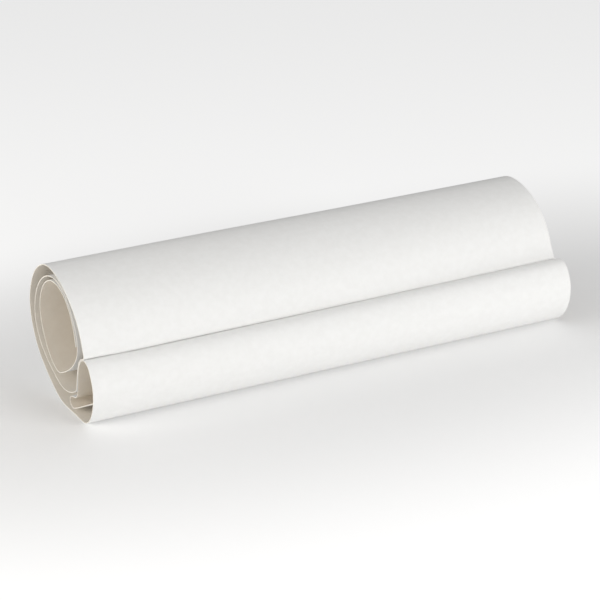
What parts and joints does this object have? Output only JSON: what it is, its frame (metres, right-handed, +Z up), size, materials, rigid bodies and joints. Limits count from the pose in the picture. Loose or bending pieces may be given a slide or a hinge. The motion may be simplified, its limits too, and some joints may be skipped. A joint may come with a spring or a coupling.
{
  "type": "backdrop paper roll",
  "caption": "Loosely rolled sheet of matt white backdrop paper lying on its side, with its loose end curled into a smaller roll in front.",
  "frame": {"origin": "on the surface the roll lies on, below the middle of its bounding box", "axes": "+X along the roll towards its slightly slimmer end, +Y back from the small front roll to the large one, +Z up"},
  "size_m": [0.6018, 0.1904, 0.1525],
  "materials": {
    "paper": "matt with a fine tooth"
  },
  "bodies": {
    "loose_end": {"floor_lead": "paper", "end_toe": "paper", "end_front_wall": "paper", "end_crown": "paper", "end_back_wall": "paper", "end_fold": "paper", "end_tail": "paper"},
    "payout_1": {"payout_1": "paper"},
    "payout_2": {"payout_2": "paper"},
    "payout_3": {"payout_3": "paper"},
    "main_roll": {"outer_back": "paper", "outer_top": "paper", "outer_front": "paper", "outer_tuck": "paper", "middle_bottom": "paper", "middle_back": "paper", "middle_top": "paper", "middle_front": "paper", "inner_bottom": "paper", "inner_back": "paper", "inner_top": "paper", "inner_front": "paper"}
  },
  "joints": [
    {"name": "bend_1", "type": "hinge", "parent": "loose_end", "child": "payout_1", "pos_m": [0, 0.00671, 0.0005], "axis": [-1, 0.001, 0], "range_deg": [0, 15]},
    {"name": "bend_2", "type": "hinge", "parent": "payout_1", "child": "payout_2", "pos_m": [0, 0.03457, 0.00975], "axis": [-1, 0.0014, 0.0002], "range_deg": [0, 20]},
    {"name": "bend_3", "type": "hinge", "parent": "payout_2", "child": "payout_3", "pos_m": [0, 0.06342, 0.02836], "axis": [-1, 0.0019, 0.0005], "range_deg": [0, 15]},
    {"name": "roll_back", "type": "hinge", "parent": "payout_3", "child": "main_roll", "pos_m": [0, 0.08432, 0.05224], "axis": [-1, 0.0023, 0.0009], "range_deg": [0, 20]}
  ],
  "couplings": [
    {"joint": "bend_3", "follows": "roll_back", "ratio": 0.75},
    {"joint": "bend_2", "follows": "roll_back", "ratio": 1},
    {"joint": "bend_1", "follows": "roll_back", "ratio": 0.75}
  ]
}
